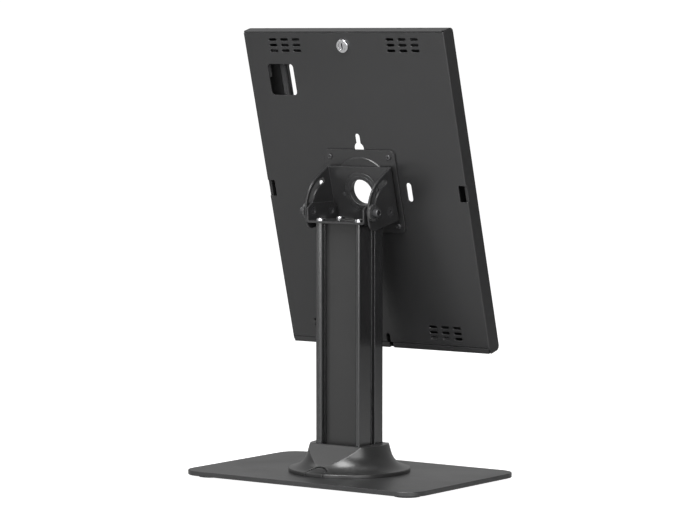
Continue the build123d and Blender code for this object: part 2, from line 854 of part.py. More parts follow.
# Rear cover, a sheet with a flange at each side
cover_half = cover_width / 2
cover_inner_half = cover_half - cover_sheet
with BuildPart() as rear_cover:
    with BuildSketch(profile.offset(-cover_half)):
        with BuildLine():
            Polyline(
                (0, -cover_bottom),
                (-flange_bottom_start, -flange_bottom),
                (-flange_depth, -flange_bottom),
                (-flange_depth, flange_top),
                (-corner_relief, flange_top),
                (-corner_relief, cover_top),
                (0, cover_top),
                close=True,
            )
        make_face()
        fillet(vertices().group_by(Axis.X)[0], flange_end_r)
    extrude(amount=cover_width)
    with BuildSketch(profile.offset(-cover_inner_half)):
        with Locations((-cover_sheet, 0)):
            Rectangle(frame_depth, 3 * cover_top, align=(Align.MAX, Align.CENTER))
        with Locations((0, -cover_bottom)):
            Rectangle(3 * frame_depth, flange_bottom, align=(Align.CENTER, Align.MAX))
    extrude(amount=2 * cover_inner_half, mode=Mode.SUBTRACT)
    for side in (-1, 1):
        bend = enclosure.from_local_coords((side * cover_half, 0, 0))
        fillet(rear_cover.edges().sort_by_distance(bend)[0], cover_bend_r)
    with BuildSketch(behind(overrun)):
        Circle(centre_hole_r)
        with GridLocations(plate_hole_spacing, plate_hole_spacing, 2, 2):
            Circle(plate_screw_r + hole_gap)
        for vent_w in (vent_top_w, vent_bottom_w):
            for side in (-1, 1):
                with Locations((side * vent_centre_x, vent_w)):
                    with GridLocations(vent_pitch_x, vent_pitch_w, vent_columns, vent_rows):
                        SlotOverall(vent_length, vent_width)
        with Locations((camera_window_x, camera_window_w)):
            RectangleRounded(camera_window_width, camera_window_height, camera_window_r)
        with Locations((0, keyhole_w)):
            Circle(keyhole_r)
            Rectangle(
                keyhole_slot_width, keyhole_slot_end - keyhole_w, align=(Align.CENTER, Align.MIN)
            )
        with Locations((0, keyhole_slot_end)):
            Circle(keyhole_slot_width / 2)
        with Locations((-side_slot_x, side_slot_w), (side_slot_x, side_slot_w)):
            RectangleRounded(side_slot_width, side_slot_height, side_slot_r)
        with Locations((0, lock_w)):
            Circle(lock_body_r + running_gap)
        with Locations((0, -cover_bottom)):
            Rectangle(
                cable_notch_width,
                2 * (cable_notch_height - cable_notch_width / 2),
            )
        with Locations((0, cable_notch_height - cable_notch_width / 2 - cover_bottom)):
            Circle(cable_notch_width / 2)
    extrude(amount=cover_sheet + 2 * overrun, mode=Mode.SUBTRACT)
    with BuildSketch(behind(overrun)):
        with Locations((-cover_half, notch_w), (cover_half, notch_w)):
            Rectangle(2 * notch_reach, notch_height)
    extrude(amount=notch_wrap + overrun, mode=Mode.SUBTRACT)
    with BuildSketch(enclosure.offset(cover_sheet)):
        with Locations((-tongue_x, -cover_bottom), (tongue_x, -cover_bottom)):
            Rectangle(tongue_width, tongue_pad, align=(Align.CENTER, Align.MIN))
    extrude(amount=sheet_gap + tongue_sheet)
    with BuildSketch(enclosure.offset(cover_sheet + sheet_gap)):
        with Locations((-tongue_x, -cover_bottom), (tongue_x, -cover_bottom)):
            Rectangle(tongue_width, tongue_reach, align=(Align.CENTER, Align.MAX))
    extrude(amount=tongue_sheet)
save(rear_cover, "rear_cover")

# Front frame, with its top and bottom walls, and a lip that hooks under the rear cover
frame_half = cover_inner_half - sheet_gap
with BuildPart() as front_frame:
    with BuildSketch(profile.offset(-frame_half)):
        with Locations((0, frame_top)):
            Rectangle(frame_depth, frame_top + frame_bottom, align=(Align.MAX, Align.MAX))
        fillet(vertices().group_by(Axis.X)[0], frame_bend_r)
    extrude(amount=2 * frame_half)
    with BuildSketch(profile.offset(frame_sheet - frame_half)):
        with Locations((overrun, frame_top - frame_sheet)):
            Rectangle(
                frame_depth - frame_sheet + overrun,
                frame_top + frame_bottom - 2 * frame_sheet,
                align=(Align.MAX, Align.MAX),
            )
        fillet(vertices().group_by(Axis.X)[0], frame_bend_r - frame_sheet)
    extrude(amount=2 * (frame_half - frame_sheet), mode=Mode.SUBTRACT)
    with BuildSketch(profile.offset(-frame_half - overrun)):
        with Locations((overrun, frame_top - frame_sheet)):
            Rectangle(
                frame_wall_start + overrun,
                frame_top + frame_bottom - 2 * frame_sheet,
                align=(Align.MAX, Align.MAX),
            )
    extrude(amount=2 * (frame_half + overrun), mode=Mode.SUBTRACT)
    with BuildSketch(enclosure):
        with Locations((0, -frame_bottom)):
            Rectangle(2 * frame_half, frame_bottom - lip_end, align=(Align.CENTER, Align.MIN))
    extrude(amount=frame_sheet)
    with BuildSketch(enclosure.offset(frame_depth + overrun)):
        RectangleRounded(window_width, window_height, window_r)
    extrude(amount=-frame_sheet - 2 * overrun, mode=Mode.SUBTRACT)
    for x_share, depth_share in button_hole_shares:
        with BuildSketch(profile.offset(x_share * frame_half - button_hole_width / 2)):
            with Locations((-depth_share * frame_depth, frame_top)):
                Rectangle(button_hole_depth, 2 * frame_bend_r)
        extrude(amount=button_hole_width, mode=Mode.SUBTRACT)
    with BuildSketch(behind(overrun)):
        with Locations((lip_notch_x, -frame_bottom)):
            Rectangle(cable_notch_width, 4 * (frame_bottom - lip_end))
    extrude(amount=overrun + 2 * frame_sheet, mode=Mode.SUBTRACT)
save(front_frame, "front_frame")

# Lock barrel, seated on the back of the cover
with BuildPart() as lock_barrel:
    with BuildSketch(behind(lock_head_flange)):
        with Locations((0, lock_w)):
            Circle(lock_head_flange_r)
    extrude(amount=lock_head_flange)
    with BuildSketch(behind(0)):
        with Locations((0, lock_w)):
            Circle(lock_body_r)
    extrude(amount=lock_length)
    rim = behind(lock_head_flange + overrun).from_local_coords((0, lock_w, 0))
    fillet(lock_barrel.faces().sort_by_distance(rim)[0].edges(), lock_head_flange / 3)
    with BuildSketch(behind(lock_head_flange + overrun)):
        with Locations((0, lock_w)):
            Circle(lock_plug_r + running_gap)
    extrude(amount=lock_head_flange + lock_length + 2 * overrun, mode=Mode.SUBTRACT)
save(lock_barrel, "lock_barrel")

# Plug that the key turns
plug_back = lock_head_flange - lock_plug_recess
with BuildPart() as lock_plug:
    with BuildSketch(behind(plug_back)):
        with Locations((0, lock_w)):
            Circle(lock_plug_r)
    extrude(amount=plug_back + lock_length + cam_gap)
    with BuildSketch(behind(plug_back)):
        with Locations((0, lock_w)):
            Rectangle(keyway_width, keyway_length)
    extrude(amount=keyway_depth, mode=Mode.SUBTRACT)
    with BuildSketch(enclosure.offset(lock_length + cam_gap)):
        with Locations((0, lock_w)):
            Circle(cam_screw_r + screw_gap)
    extrude(amount=-2 * cam_screw_head_r, mode=Mode.SUBTRACT)
save(lock_plug, "lock_plug")

# Nut that clamps the barrel on the cover
with BuildPart() as lock_ring_nut:
    with BuildSketch(enclosure.offset(cover_sheet)):
        with Locations((0, lock_w)):
            RegularPolygon(ring_nut_flats_r, 6, major_radius=False)
            Circle(lock_body_r + screw_gap, mode=Mode.SUBTRACT)
    extrude(amount=ring_nut_height)
save(lock_ring_nut, "lock_ring_nut")

# Cam on the end of the plug, turned aside so that the frame can open
cam_start = lock_length + cam_gap
with BuildPart() as lock_cam:
    with BuildSketch(enclosure.offset(cam_start)):
        with Locations((0, lock_w)):
            Circle(cam_width / 2)
            Rectangle(cam_length, cam_width, align=(Align.MIN, Align.CENTER))
            Circle(cam_screw_r + screw_gap, mode=Mode.SUBTRACT)
        fillet(vertices().group_by(Axis.X)[-1], cam_width / 4)
    extrude(amount=cam_thickness)
save(lock_cam, "lock_cam")

# Screw that holds the cam on the plug
with BuildPart() as lock_cam_screw:
    with BuildSketch(enclosure.offset(cam_start + cam_thickness)):
        with Locations((0, lock_w)):
            Circle(cam_screw_head_r)
    extrude(amount=cam_screw_head_height)
    with BuildSketch(enclosure.offset(cam_start + cam_thickness)):
        with Locations((0, lock_w)):
            Circle(cam_screw_r)
    extrude(amount=-cam_thickness - cam_screw_head_r)
save(lock_cam_screw, "lock_cam_screw")

# Keeper, a bent tab under the top wall of the frame, which the cam catches
frame_inner_top = frame_top - frame_sheet
keeper_front = cam_start - keeper_gap
keeper_back = keeper_front - keeper_sheet
with BuildPart() as lock_keeper:
    with BuildSketch(profile.offset(-keeper_width / 2)):
        with BuildLine():
            Polyline(
                (-keeper_front, frame_inner_top),
                (-keeper_front, keeper_end),
                (-keeper_back, keeper_end),
                (-keeper_back, frame_inner_top - keeper_sheet),
                (keeper_foot - keeper_back, frame_inner_top - keeper_sheet),
                (keeper_foot - keeper_back, frame_inner_top),
                close=True,
            )
        make_face()
    extrude(amount=keeper_width)
save(lock_keeper, "lock_keeper")

# Foam strips around the window, on the inner face of the frame
strip_x = window_width / 2 + foam_border + foam_width / 2
strip_w = window_height / 2 + foam_border + foam_width / 2
with BuildPart() as foam_strips:
    with BuildSketch(enclosure.offset(frame_depth - frame_sheet - foam_thickness)):
        with Locations((-strip_x, 0), (strip_x, 0)):
            Rectangle(foam_width, window_height)
        with Locations((0, -strip_w), (0, strip_w)):
            Rectangle(2 * strip_x + foam_width, foam_width)
    extrude(amount=foam_thickness)
save(foam_strips, "foam_strips")

# Corner blocks that centre the tablet on the rear cover
block_x = tablet_width / 2 + block_thickness
block_w = tablet_height / 2 + block_thickness
with BuildPart() as corner_blocks:
    with BuildSketch(enclosure.offset(cover_sheet)):
        Rectangle(2 * block_x, 2 * block_w)
        Rectangle(tablet_width, tablet_height, mode=Mode.SUBTRACT)
        Rectangle(2 * (block_x - block_leg_x), 3 * block_w, mode=Mode.SUBTRACT)
        Rectangle(3 * block_x, 2 * (block_w - block_leg_w), mode=Mode.SUBTRACT)
    extrude(amount=block_height)
save(corner_blocks, "corner_blocks")
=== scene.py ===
"""Finishes, soft parts and studio for the locking tablet stand."""

from math import cos, pi, radians, sin

import bmesh
import bpy
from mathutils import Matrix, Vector, noise


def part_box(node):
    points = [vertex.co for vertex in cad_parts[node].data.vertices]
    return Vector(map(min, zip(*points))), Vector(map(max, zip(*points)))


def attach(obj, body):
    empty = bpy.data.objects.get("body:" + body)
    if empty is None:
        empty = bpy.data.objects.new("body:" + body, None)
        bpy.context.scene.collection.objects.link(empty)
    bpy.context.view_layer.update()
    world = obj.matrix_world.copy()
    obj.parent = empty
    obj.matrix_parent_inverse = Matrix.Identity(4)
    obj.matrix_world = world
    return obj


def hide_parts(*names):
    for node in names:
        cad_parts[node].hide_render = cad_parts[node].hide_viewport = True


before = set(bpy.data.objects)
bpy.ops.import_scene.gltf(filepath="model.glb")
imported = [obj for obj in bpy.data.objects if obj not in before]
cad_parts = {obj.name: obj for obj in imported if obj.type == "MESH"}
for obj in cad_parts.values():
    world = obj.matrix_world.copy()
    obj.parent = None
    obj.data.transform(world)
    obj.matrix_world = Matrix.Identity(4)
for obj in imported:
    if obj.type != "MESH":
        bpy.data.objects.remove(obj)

bl_info = {
    "name": "Tablet Security Stand Finishes",
    "version": (1, 0, 0),
    "blender": (4, 5, 0),
    "location": "3D View > Sidebar > Tablet Stand",
    "description": "Finishes, lock bolts, foam and a plain studio for the locking tablet stand",
    "category": "Object",
}

MM = 0.001

# Which finish each CAD piece takes
COATED_BASE = ("base_plate",)
COATED_SHEET = ("adapter_plate", "rear_cover", "front_frame", "lock_keeper")
COATED_BRACKET = ("post_bracket", "tilt_yoke")
MOULDED = ("post_cover", "collar", "collar_cable_door")
BRIGHT_BLACK = ("base_screws", "bracket_screws")
DULL_BLACK = (
    "pivot_bolts", "pivot_nuts", "spacer_washers", "tilt_lock_nuts", "swivel_stop_pin", "adapter_screws",
)
ZINC_PLATED = ("swivel_retainer", "adapter_nuts", "lock_ring_nut", "lock_cam", "lock_cam_screw")
CHROMED = ("lock_barrel", "lock_plug")

# Tones of the lighter edges (rubbed wear, and on the coat, the anodising and the plastic also a painted
# highlight), of the turned steel and of the cut foam (its lighter cell rims are painted light)
RUBBED_AND_LIT_ANODISING = (0.16, 0.16, 0.165, 1)
RUBBED_AND_LIT_PLASTIC = (0.06, 0.06, 0.06, 1)
RUBBED_ZINC = (0.78, 0.78, 0.80, 1)
RUBBED_NICKEL = (0.34, 0.34, 0.35, 1)
RUBBED_OXIDE = (0.16, 0.155, 0.15, 1)
RUBBED_CHROME = (0.86, 0.86, 0.87, 1)
TURNED_STEEL = (0.045, 0.045, 0.046, 1)
RUBBED_STEEL = (0.20, 0.20, 0.205, 1)
LIT_FOAM_RIMS = (0.05, 0.05, 0.052, 1)
WHITE = (1, 1, 1, 1)

# The plane of the rear cover, tilted back from upright
ENCLOSURE_TILT = radians(15)
PIVOT = Vector((0, -16.25, 280)) * MM
CENTRE_ABOVE_PIVOT = 16.4 * MM
COVER_BEFORE_PIVOT = 17.7 * MM
UP_THE_COVER = Vector((0, sin(ENCLOSURE_TILT), cos(ENCLOSURE_TILT)))
INTO_THE_COVER = Vector((0, -cos(ENCLOSURE_TILT), sin(ENCLOSURE_TILT)))
COVER_CENTRE = PIVOT + CENTRE_ABOVE_PIVOT * UP_THE_COVER + COVER_BEFORE_PIVOT * INTO_THE_COVER

# Where the foam lies: across and up from the middle of the cover, and into the enclosure
STRIP_ACROSS = 93.5 * MM
STRIP_UP = 139 * MM
STRIP_TALL = 266 * MM
STRIP_DEEP = 14.5 * MM
BLOCK_CORNER = (116.5 * MM, 149.5 * MM)
BLOCK_LEGS = (20 * MM, 30 * MM)
BLOCK_DEEP = 1.5 * MM
FOAM_GRID_DIGITS = 6
SHARP_EDGE = radians(40)

# The camera of the photograph, as fitted to the stand, and the studio about it
CAMERA_PLACE = (-1.90741, 2.663996, 0.458629)
CAMERA_TURN = radians(215.591)
CAMERA_RISE = radians(4.011)
LENS = 161.805
SENSOR_WIDTH = 36
AIM_HEIGHT = 0.25
FLOOR_SEGMENTS = 96
WHITE_STRENGTH = 1.05


def on_cover(x, up, deep):
    """A point given across, up and into the enclosure, in metres."""
    return COVER_CENTRE + Vector((x, 0, 0)) + up * UP_THE_COVER + deep * INTO_THE_COVER


# Sizes and colours

def colour(name, description, value):
    return bpy.props.FloatVectorProperty(
        name=name, description=description, default=value, size=4, min=0, max=1, subtype="COLOR")


def length(name, description, value):
    return bpy.props.FloatProperty(
        name=name, description=description, default=value, min=0, precision=5,
        subtype="DISTANCE", unit="LENGTH")


def share(name, description, value):
    return bpy.props.FloatProperty(
        name=name, description=description, default=value, min=0, max=1, subtype="FACTOR")


def power(name, description, value):
    return bpy.props.FloatProperty(
        name=name, description=description, default=value, min=0, unit="POWER")


def count(name, description, value):
    return bpy.props.IntProperty(name=name, description=description, default=value, min=3)


class FinishSettings(bpy.types.PropertyGroup):
    """Colours and grain of the finishes."""
    base_coat: colour("Base Coat", "Powder coat of the base plate", (0.018, 0.018, 0.0185, 1))
    sheet_coat: colour("Sheet Coat", "Powder coat of the enclosure", (0.013, 0.013, 0.0134, 1))
    bracket_coat: colour("Bracket Coat", "Powder coat of the brackets", (0.016, 0.016, 0.0165, 1))
    # Worn coat: lighter along the edges, partly rubbed wear and partly a painted highlight
    worn_and_lit_coat: colour("Worn Coat", "Thin, rubbed coat along the edges", (0.045, 0.045, 0.046, 1))
    coat_grain: length("Coat Grain", "Size of the grain of the powder coat", 0.0006)
    coat_relief: length("Coat Relief", "Height of the grain of the powder coat", 0.00002)
    anodising: colour("Anodising", "Black anodised aluminium", (0.012, 0.012, 0.0125, 1))
    die_line: length("Die Line", "Width of the lines that the die leaves on the post", 0.0003)
    plastic: colour("Plastic", "Moulded black plastic", (0.016, 0.016, 0.016, 1))
    plastic_grain: length("Plastic Grain", "Size of the spark grain of the plastic", 0.0004)
    zinc: colour("Zinc", "Bright zinc plating", (0.56, 0.57, 0.58, 1))
    chrome: colour("Chrome", "Chrome plating of the lock", (0.62, 0.62, 0.63, 1))
    blackened: colour("Blackened Steel", "Black nickel on the screws", (0.42, 0.42, 0.43, 1))
    oxide: colour("Black Oxide", "Black oxide on the bolts, nuts and washers", (0.040, 0.040, 0.042, 1))
    phosphate: colour("Grey Phosphate", "Grey phosphate on the large washers", (0.055, 0.055, 0.056, 1))
    rubber: colour("Rubber", "Feet and grommet", (0.016, 0.016, 0.016, 1))
    nylon: colour("Nylon", "Slip washer", (0.70, 0.68, 0.62, 1))
    foam: colour("Foam", "Closed cell foam", (0.022, 0.022, 0.023, 1))
    edge_width: length("Edge Width", "How far rubbed edges reach", 0.0008)
    # Edge wear: how strongly the edges are lightened, as rubbed wear and as a painted highlight
    edge_wear_and_highlight: share("Edge Wear And Highlight", "How strongly the edges are rubbed", 0.55)


class BoltSettings(bpy.types.PropertyGroup):
    """Sizes of the socket head lock bolts."""
    head_radius: length("Head Radius", "Radius of the knurled head", 0.0045)
    head_height: length("Head Height", "Height of the knurled head", 0.0062)
    knurl_count: count("Knurls", "Number of knurls round the head", 36)
    knurl_depth: length("Knurl Depth", "Depth of the knurling", 0.00022)
    socket_radius: length("Socket Radius", "Half the width over the corners of the socket", 0.0026)
    socket_depth: length("Socket Depth", "Depth of the hexagon socket", 0.003)
    thread_radius: length("Thread Radius", "Outer radius of the thread", 0.003)
    thread_pitch: length("Thread Pitch", "Distance from one thread to the next", 0.001)
    thread_depth: length("Thread Depth", "Depth of the thread", 0.0005)


class FoamSettings(bpy.types.PropertyGroup):
    """Sizes of the foam inside the enclosure."""
    strip_thickness: length("Strip Thickness", "Thickness of the foam strips", 0.002)
    strip_width: length("Strip Width", "Width of the foam strips", 0.006)
    block_height: length("Block Height", "Height of the corner blocks", 0.0125)
    block_wall: length("Block Wall", "Thickness of the corner blocks' walls", 0.008)
    soft_edge: length("Soft Edge", "Rounding of the cut edges", 0.0007)
    crown: length("Crown", "How far the faces bulge between the edges", 0.0003)


class StageSettings(bpy.types.PropertyGroup):
    """Floor, light and camera."""
    floor_colour: colour("Floor", "Floor, as the stand mirrors it", (0.38, 0.38, 0.38, 1))
    floor_radius: length("Floor Radius", "Radius of the floor", 30)
    behind_fill: share("Behind Fill", "Light of the room behind the stand", 0.12)
    left_fill: share("Left Fill", "Light of the room at the +X side", 0.24)
    screen_fill: share("Screen Fill", "Light of the room before the screen", 0.39)
    camera_light: power("Camera Light", "Power of the broad light beside the camera", 34)
    behind_light: power("Behind Light", "Power of the broad light behind the stand", 23)
    high_light: power("High Light", "Power of the light high behind the stand", 19)
    crown_light: power("Crown Light", "Power of the light above the stand that glints on the collar", 38)
    left_light: power("Left Light", "Power of the high light at the +X side", 4.5)
    panel_light: power("Panel Light", "Power of the tall light that the post mirrors", 2.7)


# Shader groups

def put(tree, kind, links=None, values=None, **settings):
    """Adds a node to a tree, sets it and wires the outputs that are given to its inputs."""
    node = tree.nodes.new(kind)
    for key, value in settings.items():
        setattr(node, key, value)
    for key, value in (values or {}).items():
        node.inputs[key].default_value = value
    for key, output in (links or {}).items():
        tree.links.new(output, node.inputs[key])
    return node


def compute(tree, operation, first, second):
    """The result of a Math node, where each side is an output or a number."""
    node = tree.nodes.new("ShaderNodeMath")
    node.operation = operation
    for socket, value in zip(node.inputs, (first, second)):
        if isinstance(value, bpy.types.NodeSocket):
            tree.links.new(value, socket)
        else:
            socket.default_value = value
    return node.outputs[0]


def new_group(name, inputs, outputs):
    """An empty shader group with its named sockets, and its inner ends."""
    group = bpy.data.node_groups.new(name, "ShaderNodeTree")
    for label, kind, value in inputs:
        socket = group.interface.new_socket(label, in_out="INPUT", socket_type=kind)
        if value is not None:
            socket.default_value = value
    for label, kind in outputs:
        group.interface.new_socket(label, in_out="OUTPUT", socket_type=kind)
    return group, group.nodes.new("NodeGroupInput"), group.nodes.new("NodeGroupOutput")


def build_grain():
    """Fine grain of a powder coat or of a spark eroded mould."""
    group, given, result = new_group(
        "Fine Grain",
        (("Place", "NodeSocketVector", None), ("Grain Size", "NodeSocketFloat", 0.0006)),
        (("Height", "NodeSocketFloat"), ("Speckle", "NodeSocketFloat")))
    scale = compute(group, "DIVIDE", 1.0, given.outputs["Grain Size"])
    cells = put(group, "ShaderNodeTexVoronoi", {"Vector": given.outputs["Place"], "Scale": scale},
                feature="SMOOTH_F1")
    grit = put(group, "ShaderNodeTexNoise", {"Vector": given.outputs["Place"], "Scale": scale},
               {"Detail": 3.0, "Roughness": 0.65})
    mixed = compute(group, "MULTIPLY", cells.outputs["Distance"], grit.outputs["Fac"])
    group.links.new(compute(group, "MULTIPLY", mixed, 2.0), result.inputs["Height"])
    group.links.new(grit.outputs["Fac"], result.inputs["Speckle"])


def build_wear():
    """Lighter edges, partly rubbed wear and partly a painted highlight, found from the bend of the
    surface, with a softened normal.
    """
    group, given, result = new_group(
        "Edge Wear And Highlight",
        (("Place", "NodeSocketVector", None), ("Width", "NodeSocketFloat", 0.0005),
         ("Strength", "NodeSocketFloat", 0.5)),
        (("Mask", "NodeSocketFloat"), ("Soft Normal", "NodeSocketVector")))
    soft = put(group, "ShaderNodeBevel", {"Radius": given.outputs["Width"]}, samples=6)
    flat = put(group, "ShaderNodeNewGeometry")
    bend = put(group, "ShaderNodeVectorMath",
               {0: soft.outputs["Normal"], 1: flat.outputs["Normal"]}, operation="DOT_PRODUCT")
    edge = put(group, "ShaderNodeMapRange", {"Value": bend.outputs["Value"]},
               {"From Min": 0.995, "From Max": 0.78, "To Min": 0.0, "To Max": 1.0})
    patches = put(group, "ShaderNodeTexNoise", {"Vector": given.outputs["Place"]},
                  {"Scale": 260.0, "Detail": 4.0, "Roughness": 0.6})
    broken = put(group, "ShaderNodeMapRange", {"Value": patches.outputs["Fac"]},
                 {"From Min": 0.34, "From Max": 0.62, "To Min": 0.25, "To Max": 1.0})
    mask = compute(group, "MULTIPLY", edge.outputs["Result"], broken.outputs["Result"])
    group.links.new(compute(group, "MULTIPLY", mask, given.outputs["Strength"]), result.inputs["Mask"])
    group.links.new(soft.outputs["Normal"], result.inputs["Soft Normal"])


def build_drift():
    """Slow change of tone over a surface, from handling and from the batch of coat."""
    group, given, result = new_group(
        "Tone Drift",
        (("Place", "NodeSocketVector", None), ("Patch Size", "NodeSocketFloat", 0.05),
         ("Colour", "NodeSocketColor", (0.5, 0.5, 0.5, 1)), ("Amount", "NodeSocketFloat", 0.15)),
        (("Colour", "NodeSocketColor"), ("Drift", "NodeSocketFloat")))
    scale = compute(group, "DIVIDE", 1.0, given.outputs["Patch Size"])
    clouds = put(group, "ShaderNodeTexNoise", {"Vector": given.outputs["Place"], "Scale": scale},
                 {"Detail": 5.0, "Roughness": 0.55, "Distortion": 0.4})
    centred = compute(group, "SUBTRACT", clouds.outputs["Fac"], 0.5)
    lift = compute(group, "MULTIPLY", centred, given.outputs["Amount"])
    factor = compute(group, "ADD", compute(group, "MULTIPLY", lift, 2.0), 1.0)
    toned = put(group, "ShaderNodeVectorMath", {0: given.outputs["Colour"]}, operation="SCALE")
    group.links.new(factor, toned.inputs["Scale"])
    group.links.new(toned.outputs["Vector"], result.inputs["Colour"])
    group.links.new(clouds.outputs["Fac"], result.inputs["Drift"])


def build_lines():
    """Fine parallel lines, long in one direction, as drawing through a die leaves them."""
    group, given, result = new_group(
        "Drawn Lines",
        (("Place", "NodeSocketVector", None), ("Line Width", "NodeSocketFloat", 0.0003),
         ("Stretch", "NodeSocketVector", (1, 1, 0.01))),
        (("Height", "NodeSocketFloat"), ("Streak", "NodeSocketFloat")))
    scale = compute(group, "DIVIDE", 1.0, given.outputs["Line Width"])
    squeezed = put(group, "ShaderNodeVectorMath",
                   {0: given.outputs["Place"], 1: given.outputs["Stretch"]}, operation="MULTIPLY")
    fine = put(group, "ShaderNodeTexNoise", {"Vector": squeezed.outputs["Vector"], "Scale": scale},
               {"Detail": 4.0, "Roughness": 0.7})
    wide = put(group, "ShaderNodeTexNoise",
               {"Vector": squeezed.outputs["Vector"], "Scale": compute(group, "MULTIPLY", scale, 0.06)},
               {"Detail": 2.0, "Roughness": 0.5})
    group.links.new(fine.outputs["Fac"], result.inputs["Height"])
    group.links.new(wide.outputs["Fac"], result.inputs["Streak"])


def build_rings():
    """Turning marks, rings about an axis through a centre."""
    group, given, result = new_group(
        "Turned Rings",
        (("Place", "NodeSocketVector", None), ("Centre", "NodeSocketVector", (0, 0, 0)),
         ("Axis", "NodeSocketVector", (0, 0, 1)), ("Pitch", "NodeSocketFloat", 0.0003)),
        (("Height", "NodeSocketFloat"), ("Ring", "NodeSocketFloat")))
    offset = put(group, "ShaderNodeVectorMath",
                 {0: given.outputs["Place"], 1: given.outputs["Centre"]}, operation="SUBTRACT")
    across = put(group, "ShaderNodeVectorMath",
                 {0: offset.outputs["Vector"], 1: given.outputs["Axis"]}, operation="CROSS_PRODUCT")
    radius = put(group, "ShaderNodeVectorMath", {0: across.outputs["Vector"]}, operation="LENGTH")
    turns = compute(group, "DIVIDE", radius.outputs["Value"], given.outputs["Pitch"])
    marks = put(group, "ShaderNodeTexNoise", {"W": turns}, {"Scale": 1.0, "Detail": 3.0, "Roughness": 0.6},
                noise_dimensions="1D")
    group.links.new(marks.outputs["Fac"], result.inputs["Height"])
    group.links.new(marks.outputs["Fac"], result.inputs["Ring"])


def use(tree, name, links=None, values=None):
    """Places one of the groups in a material."""
    return put(tree, "ShaderNodeGroup", links, values, node_tree=bpy.data.node_groups[name])


# Materials

def new_finish(name, **sheen):
    """A material with its shader, and the place of each point on the piece."""
    finish = bpy.data.materials.new(name)
    finish.use_nodes = True
    tree = finish.node_tree
    shader = tree.nodes["Principled BSDF"]
    for key, value in sheen.items():
        shader.inputs[key.replace("_", " ")].default_value = value
    place = tree.nodes.new("ShaderNodeTexCoord").outputs["Object"]
    return finish, tree, shader, place


def set_roughness(tree, shader, source, low, high):
    """Roughness between two values, as a mask over the surface gives it."""
    span = put(tree, "ShaderNodeMapRange", {"Value": source},
               {"From Min": 0.3, "From Max": 0.7, "To Min": low, "To Max": high})
    tree.links.new(span.outputs["Result"], shader.inputs["Roughness"])


def set_relief(tree, shader, height, distance, normal=None):
    """Bump from a height, on a softened normal where there is one."""
    bump = put(tree, "ShaderNodeBump", {"Height": height}, {"Strength": 1.0, "Distance": distance})
    if normal is not None:
        tree.links.new(normal, bump.inputs["Normal"])
    tree.links.new(bump.outputs["Normal"], shader.inputs["Normal"])


def blend_colours(tree, mask, under, over):
    """A colour over another one where the mask is set."""
    mix = put(tree, "ShaderNodeMix", {"Factor": mask, 6: under}, {7: over}, data_type="RGBA")
    return mix.outputs[2]


def blend_masks(tree, first, second, first_share):
    """Two masks added by their shares."""
    return compute(tree, "ADD", compute(tree, "MULTIPLY", first, first_share),
                   compute(tree, "MULTIPLY", second, 1 - first_share))


def tone_wear_and_edge_highlight(tree, shader, place, tone, patch, amount, width, strength, rubbed_and_lit):
    """Colours a finish with a slow drift of tone and with lighter edges, partly rubbed wear and partly a
    painted highlight.

    Gives the drift for the roughness, and the softened normal for the relief.
    """
    wear = use(tree, "Edge Wear And Highlight", {"Place": place}, {"Width": width, "Strength": strength})
    drift = use(tree, "Tone Drift", {"Place": place},
                {"Patch Size": patch, "Colour": tone, "Amount": amount})
    worn_and_lit = blend_colours(tree, wear.outputs["Mask"], drift.outputs["Colour"], rubbed_and_lit)
    tree.links.new(worn_and_lit, shader.inputs["Base Color"])
    return drift.outputs["Drift"], wear.outputs["Soft Normal"]


def coated_steel(name, tone, settings, low, high):
    """Fine textured black powder coat, lighter along its edges, partly from a thin rubbed coat and partly
    as a painted highlight.
    """
    finish, tree, shader, place = new_finish(name, IOR=1.6)
    grain = use(tree, "Fine Grain", {"Place": place}, {"Grain Size": settings.coat_grain})
    drift, normal = tone_wear_and_edge_highlight(
        tree, shader, place, tone, patch=0.07, amount=0.14,
        width=settings.edge_width, strength=settings.edge_wear_and_highlight, rubbed_and_lit=settings.worn_and_lit_coat)
    patchy = blend_masks(tree, drift, grain.outputs["Speckle"], first_share=0.7)
    set_roughness(tree, shader, patchy, low, high)
    set_relief(tree, shader, grain.outputs["Height"], settings.coat_relief, normal)
    return finish


def anodised_aluminium(name, settings):
    """Black anodising over an extrusion, with the lines of the die along it."""
    finish, tree, shader, place = new_finish(name, IOR=1.8)
    lines = use(tree, "Drawn Lines", {"Place": place},
                {"Line Width": settings.die_line, "Stretch": (1, 1, 0.008)})
    # Lighter edges on the post: partly rubbed anodising, partly a painted highlight along its corners
    drift, normal = tone_wear_and_edge_highlight(
        tree, shader, place, settings.anodising, patch=0.09, amount=0.12,
        width=0.0009, strength=0.4, rubbed_and_lit=RUBBED_AND_LIT_ANODISING)
    streaky = blend_masks(tree, lines.outputs["Streak"], drift, first_share=0.6)
    set_roughness(tree, shader, streaky, low=0.15, high=0.21)
    set_relief(tree, shader, lines.outputs["Height"], distance=0.000006, normal=normal)
    return finish


def moulded_plastic(name, settings):
    """Black plastic with the grain of a spark eroded mould."""
    finish, tree, shader, place = new_finish(name, IOR=1.55)
    grain = use(tree, "Fine Grain", {"Place": place}, {"Grain Size": settings.plastic_grain})
    # Lighter edges on the plastic: partly rubbed wear, partly a painted highlight on its creases and rims
    drift, normal = tone_wear_and_edge_highlight(
        tree, shader, place, settings.plastic, patch=0.04, amount=0.10,
        width=0.0014, strength=0.35, rubbed_and_lit=RUBBED_AND_LIT_PLASTIC)
    set_roughness(tree, shader, drift, low=0.29, high=0.34)
    set_relief(tree, shader, grain.outputs["Height"], distance=0.000008, normal=normal)
    return finish


